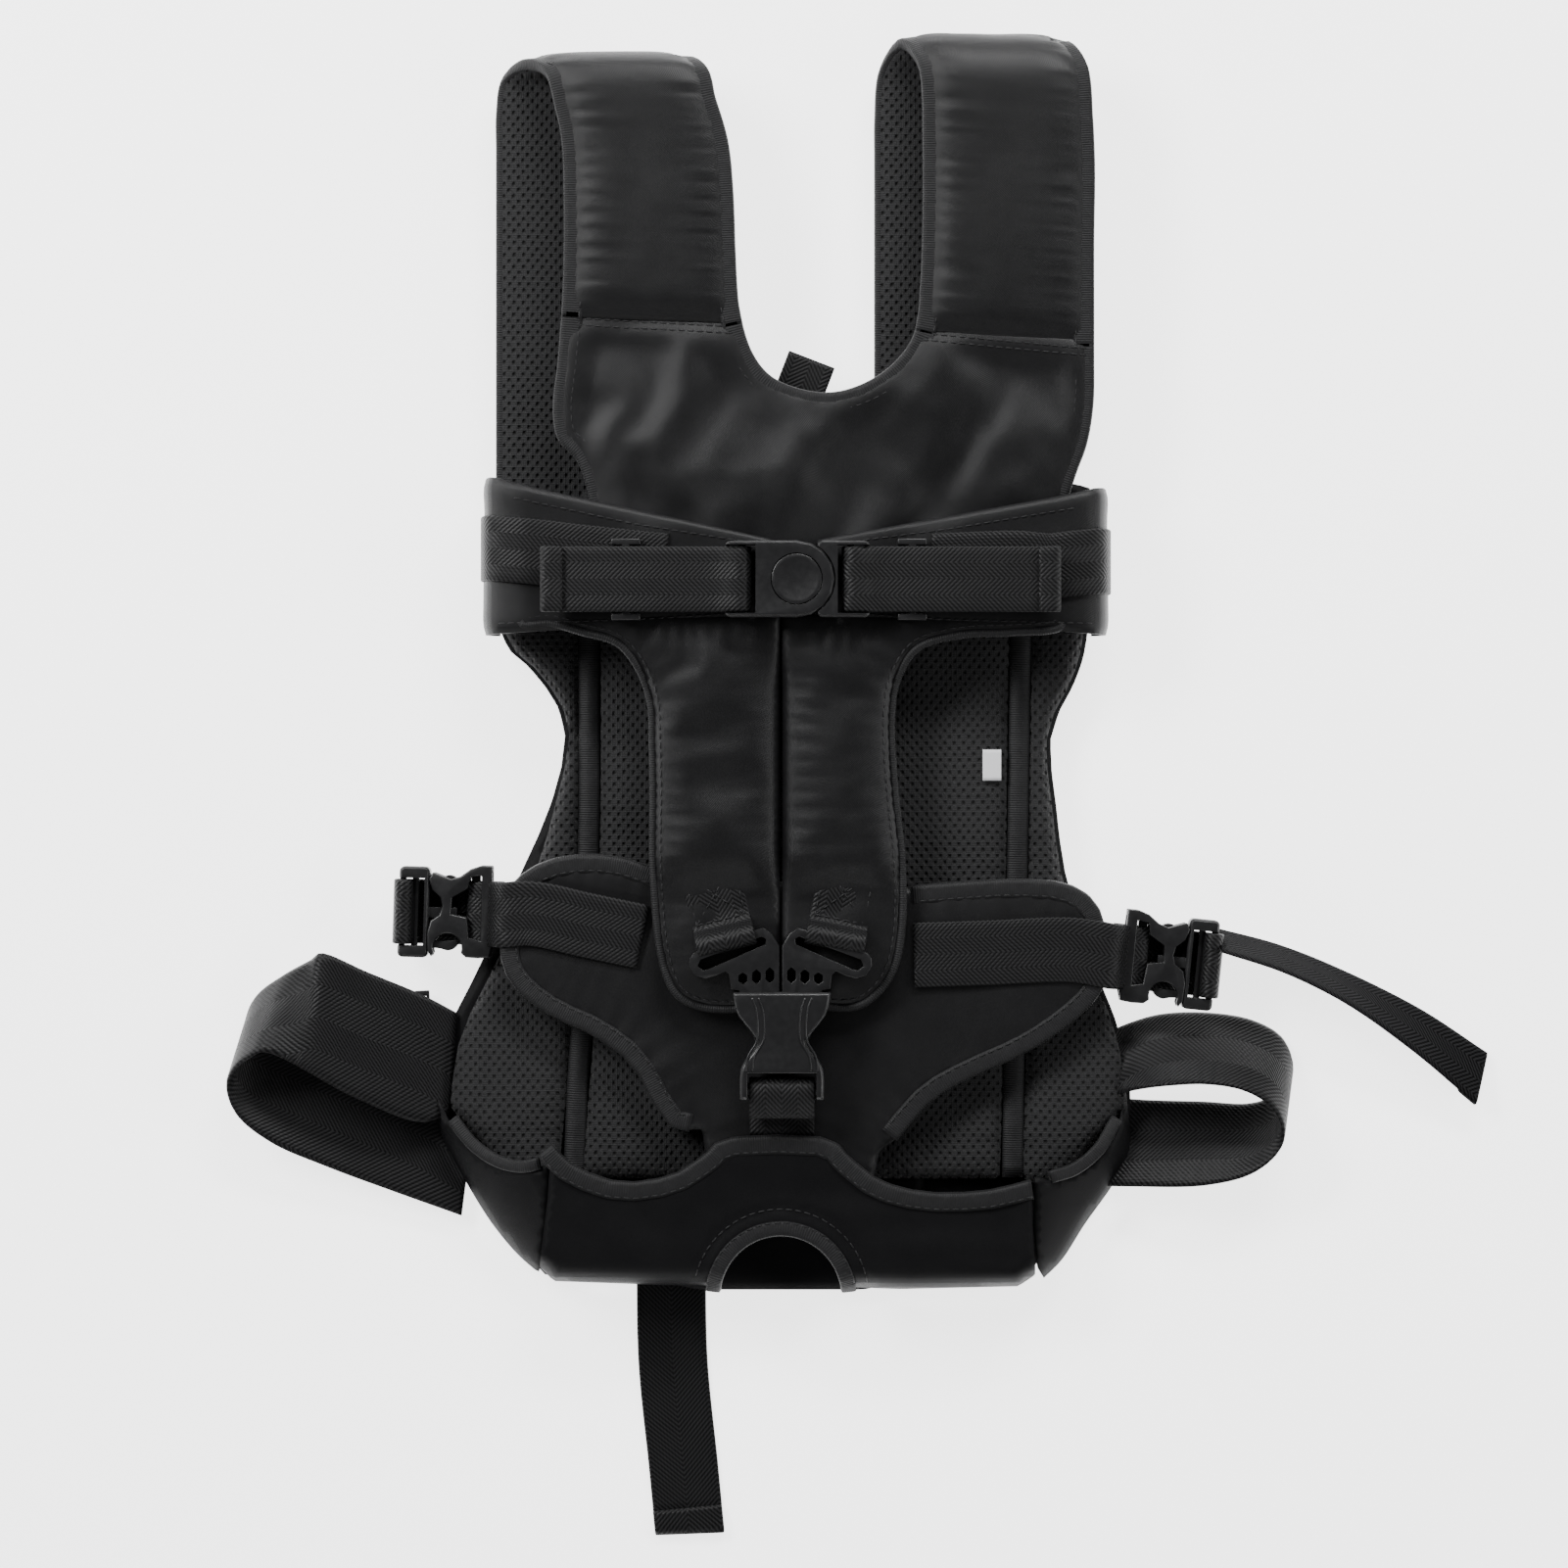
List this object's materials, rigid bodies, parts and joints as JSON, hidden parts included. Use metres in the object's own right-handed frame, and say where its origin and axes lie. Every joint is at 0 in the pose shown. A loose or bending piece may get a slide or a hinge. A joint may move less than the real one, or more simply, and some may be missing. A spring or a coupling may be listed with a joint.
{
  "type": "safety harness vest",
  "caption": "Child's padded harness vest with shoulder loops, seat, leg loops, chest belt with a press-button buckle, crotch buckle and side-release hip buckles.",
  "frame": {"origin": "middle of the back, on the outer face of the webbing that the vest lies on", "axes": "+Z out of the front of the vest as it lies on its back, +Y towards the shoulders, +X to the viewer's right"},
  "size_m": [0.4899, 0.5785, 0.0476],
  "materials": {
    "shell_nylon": "satin woven nylon",
    "padded_nylon": "satin woven nylon over soft foam, puckered along its seams",
    "spacer_mesh": "knitted spacer mesh with open cells",
    "binding_tape": "ribbed binding tape",
    "webbing": "woven polyester webbing, chevron and rib weave, slightly shiny",
    "thread": "polyester sewing thread",
    "buckle_plastic": "moulded acetal, satin",
    "label_cloth": "blank white satin label",
    "spring_steel": "bright drawn wire"
  },
  "bodies": {
    "vest": {"back_shell": "shell_nylon", "neck_yoke": "shell_nylon", "seat_lip": "shell_nylon", "seat_gusset_left": "shell_nylon", "seat_gusset_right": "shell_nylon", "crotch_panel": "shell_nylon", "belt_panel_left": "shell_nylon", "belt_panel_right": "shell_nylon", "bib": "padded_nylon", "shoulder_loop_left": "padded_nylon", "shoulder_loop_right": "padded_nylon", "front_pad_left": "padded_nylon", "front_pad_right": "padded_nylon", "mesh_pad_left": "spacer_mesh", "mesh_pad_middle": "spacer_mesh", "mesh_pad_right": "spacer_mesh", "piping_left": "binding_tape", "piping_right": "binding_tape", "back_chest_webbing": "webbing", "back_waist_webbing": "webbing", "back_riser": "webbing", "hang_tab": "webbing", "belt_webbing_left": "webbing", "belt_webbing_right": "webbing", "belt_strap_left": "webbing", "waist_strap_left": "webbing", "waist_strap_right": "webbing", "strap_tab_left": "webbing", "strap_tab_right": "webbing", "crotch_webbing": "webbing", "leg_loop_left": "webbing", "leg_loop_right": "webbing", "chest_buckle_body": "buckle_plastic", "hip_buckle_left_housing": "buckle_plastic", "hip_buckle_right_housing": "buckle_plastic", "crotch_tongue_left": "buckle_plastic", "crotch_tongue_right": "buckle_plastic", "leg_adjuster_left": "buckle_plastic", "care_label": "label_cloth", "chest_button_spring": "spring_steel"},
    "chest_button": {"chest_button": "buckle_plastic"},
    "chest_tongue": {"chest_buckle_tongue": "buckle_plastic", "belt_strap_right": "webbing"},
    "adjuster_left": {"adjuster_left": "buckle_plastic"},
    "adjuster_right": {"adjuster_right": "buckle_plastic"},
    "crotch_housing": {"crotch_buckle_housing": "buckle_plastic", "crotch_strap": "webbing"},
    "crotch_prong_left": {"crotch_prong_left": "buckle_plastic"},
    "crotch_prong_right": {"crotch_prong_right": "buckle_plastic"},
    "hip_left": {"hip_buckle_left_base": "buckle_plastic", "hip_strap_left": "webbing"},
    "hip_left_prong_lower": {"hip_prong_left_lower": "buckle_plastic"},
    "hip_left_prong_upper": {"hip_prong_left_upper": "buckle_plastic"},
    "hip_right": {"hip_buckle_right_base": "buckle_plastic", "hip_strap_right": "webbing"},
    "hip_right_prong_lower": {"hip_prong_right_lower": "buckle_plastic"},
    "hip_right_prong_upper": {"hip_prong_right_upper": "buckle_plastic"},
    "hip_right_tail": {"hip_tail_right": "webbing"},
    "foot_tail": {"foot_tail": "webbing"}
  },
  "joints": [
    {"name": "chest_button_press", "type": "slide", "parent": "vest", "child": "chest_button", "axis": [0, 0, -1], "range_m": [0, 0.0015], "stiffness_N_per_m": 900, "deforming": ["chest_button_spring"]},
    {"name": "chest_buckle_release", "type": "slide", "parent": "vest", "child": "chest_tongue", "axis": [1, 0, 0], "range_m": [0, 0.024]},
    {"name": "adjuster_left_slide", "type": "slide", "parent": "vest", "child": "adjuster_left", "axis": [-1, 0, 0], "range_m": [-0.002, 0.012]},
    {"name": "adjuster_right_slide", "type": "slide", "parent": "chest_tongue", "child": "adjuster_right", "axis": [1, 0, 0], "range_m": [-0.002, 0.012]},
    {"name": "crotch_buckle_release", "type": "slide", "parent": "vest", "child": "crotch_housing", "axis": [0, -1, 0], "range_m": [0, 0.022]},
    {"name": "crotch_prong_left_squeeze", "type": "hinge", "parent": "vest", "child": "crotch_prong_left", "pos_m": [-0.0176, -0.0986, 0.0366], "axis": [0, 0, 1], "range_deg": [0, 3], "stiffness_Nm_per_rad": 0.15},
    {"name": "crotch_prong_right_squeeze", "type": "hinge", "parent": "vest", "child": "crotch_prong_right", "pos_m": [0.0104, -0.0986, 0.0366], "axis": [0, 0, -1], "range_deg": [0, 3], "stiffness_Nm_per_rad": 0.15},
    {"name": "hip_left_release", "type": "slide", "parent": "vest", "child": "hip_left", "axis": [-0.9996, 0.03, 0], "range_m": [0, 0.018]},
    {"name": "hip_left_lower_prong_squeeze", "type": "hinge", "parent": "hip_left", "child": "hip_left_prong_lower", "pos_m": [-0.13952, -0.05247, 0.0136], "axis": [0, 0, -1], "range_deg": [0, 9], "stiffness_Nm_per_rad": 0.15},
    {"name": "hip_left_upper_prong_squeeze", "type": "hinge", "parent": "hip_left", "child": "hip_left_prong_upper", "pos_m": [-0.14026, -0.07706, 0.0136], "axis": [0, 0, 1], "range_deg": [0, 9], "stiffness_Nm_per_rad": 0.15},
    {"name": "hip_right_release", "type": "slide", "parent": "vest", "child": "hip_right", "axis": [0.995, -0.0998, 0], "range_m": [0, 0.018]},
    {"name": "hip_right_lower_prong_squeeze", "type": "hinge", "parent": "hip_right", "child": "hip_right_prong_lower", "pos_m": [0.15105, -0.09667, 0.0136], "axis": [0, 0, -1], "range_deg": [0, 9], "stiffness_Nm_per_rad": 0.15},
    {"name": "hip_right_upper_prong_squeeze", "type": "hinge", "parent": "hip_right", "child": "hip_right_prong_upper", "pos_m": [0.15351, -0.0722, 0.0136], "axis": [0, 0, 1], "range_deg": [0, 9], "stiffness_Nm_per_rad": 0.15},
    {"name": "hip_right_tail_swing", "type": "hinge", "parent": "hip_right", "child": "hip_right_tail", "pos_m": [0.1662, -0.0757, 0.0125], "axis": [0, 0, 1], "range_deg": [-10, 14]},
    {"name": "foot_tail_swing", "type": "hinge", "parent": "vest", "child": "foot_tail", "pos_m": [-0.0466, -0.2, 0.0007], "axis": [0, 0, 1], "range_deg": [-15, 15]}
  ]
}
